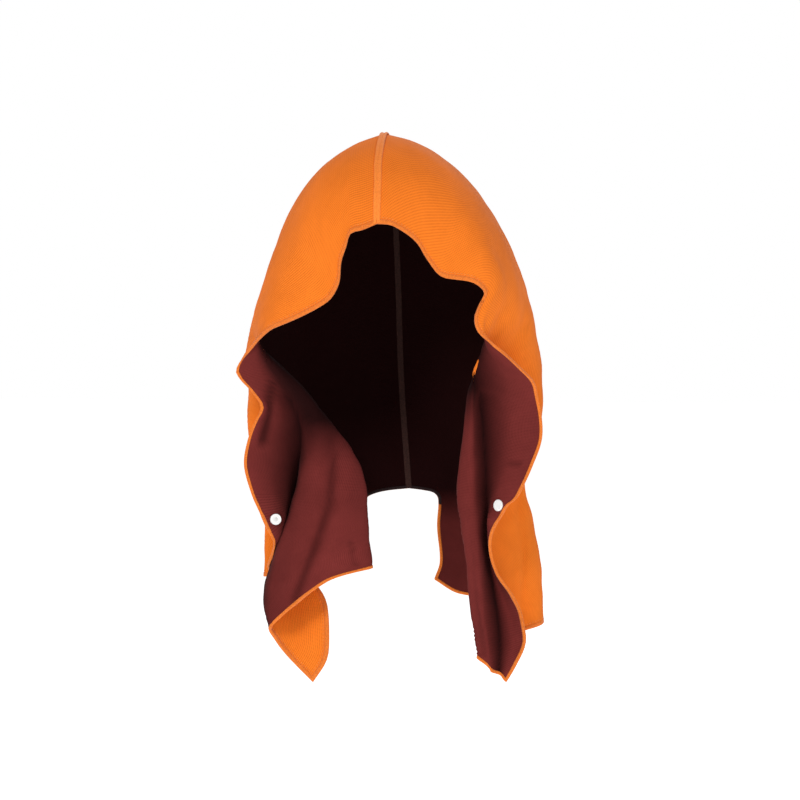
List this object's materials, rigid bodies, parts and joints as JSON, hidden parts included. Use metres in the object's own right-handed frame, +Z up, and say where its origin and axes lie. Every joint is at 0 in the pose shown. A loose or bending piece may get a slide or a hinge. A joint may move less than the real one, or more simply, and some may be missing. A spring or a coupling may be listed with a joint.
{
  "type": "lined knit hood with long front tails",
  "caption": "Soft lined knit hood with a face opening, a centre seam, bound edges and long front tails that snap together under the chin.",
  "frame": {"origin": "inside of the crown, where the hood sits on the head", "axes": "+Z up, +X towards the wearer's left, face opening towards -Y"},
  "size_m": [0.3226, 0.2139, 0.5837],
  "materials": {
    "outer_knit": "ribbed orange knit",
    "lining_knit": "smooth dark maroon knit",
    "binding": "overlocked orange edge",
    "seam_thread": "raised orange seam",
    "seam_tape": "brown seam tape",
    "snap_plastic": "glossy white plastic"
  },
  "bodies": {
    "hood": {"outer_panel_right": "outer_knit", "lining_panel_right": "lining_knit", "face_binding_right": "binding", "nape_binding_right": "binding", "outer_panel_left": "outer_knit", "lining_panel_left": "lining_knit", "face_binding_left": "binding", "nape_binding_left": "binding", "crown_seam_piping": "seam_thread", "inner_seam_tape": "seam_tape"},
    "right_tail": {"tail_outer_right": "outer_knit", "tail_lining_right": "lining_knit", "tail_front_binding_right": "binding", "tail_hem_binding_right": "binding", "tail_rear_binding_right": "binding", "snap_socket_right": "snap_plastic", "snap_cap_right": "snap_plastic"},
    "left_tail": {"tail_outer_left": "outer_knit", "tail_lining_left": "lining_knit", "tail_front_binding_left": "binding", "tail_hem_binding_left": "binding", "tail_rear_binding_left": "binding", "snap_cap_left": "snap_plastic", "snap_stud_left": "snap_plastic"}
  },
  "joints": [
    {"name": "right_tail_turn", "type": "hinge", "parent": "hood", "child": "right_tail", "pos_m": [-0.035, 0.084, -0.396], "axis": [0, 0, 1], "range_deg": [-8, 20]},
    {"name": "left_tail_turn", "type": "hinge", "parent": "hood", "child": "left_tail", "pos_m": [0.045, 0.084, -0.396], "axis": [0, 0, 1], "range_deg": [-20, 8]}
  ]
}
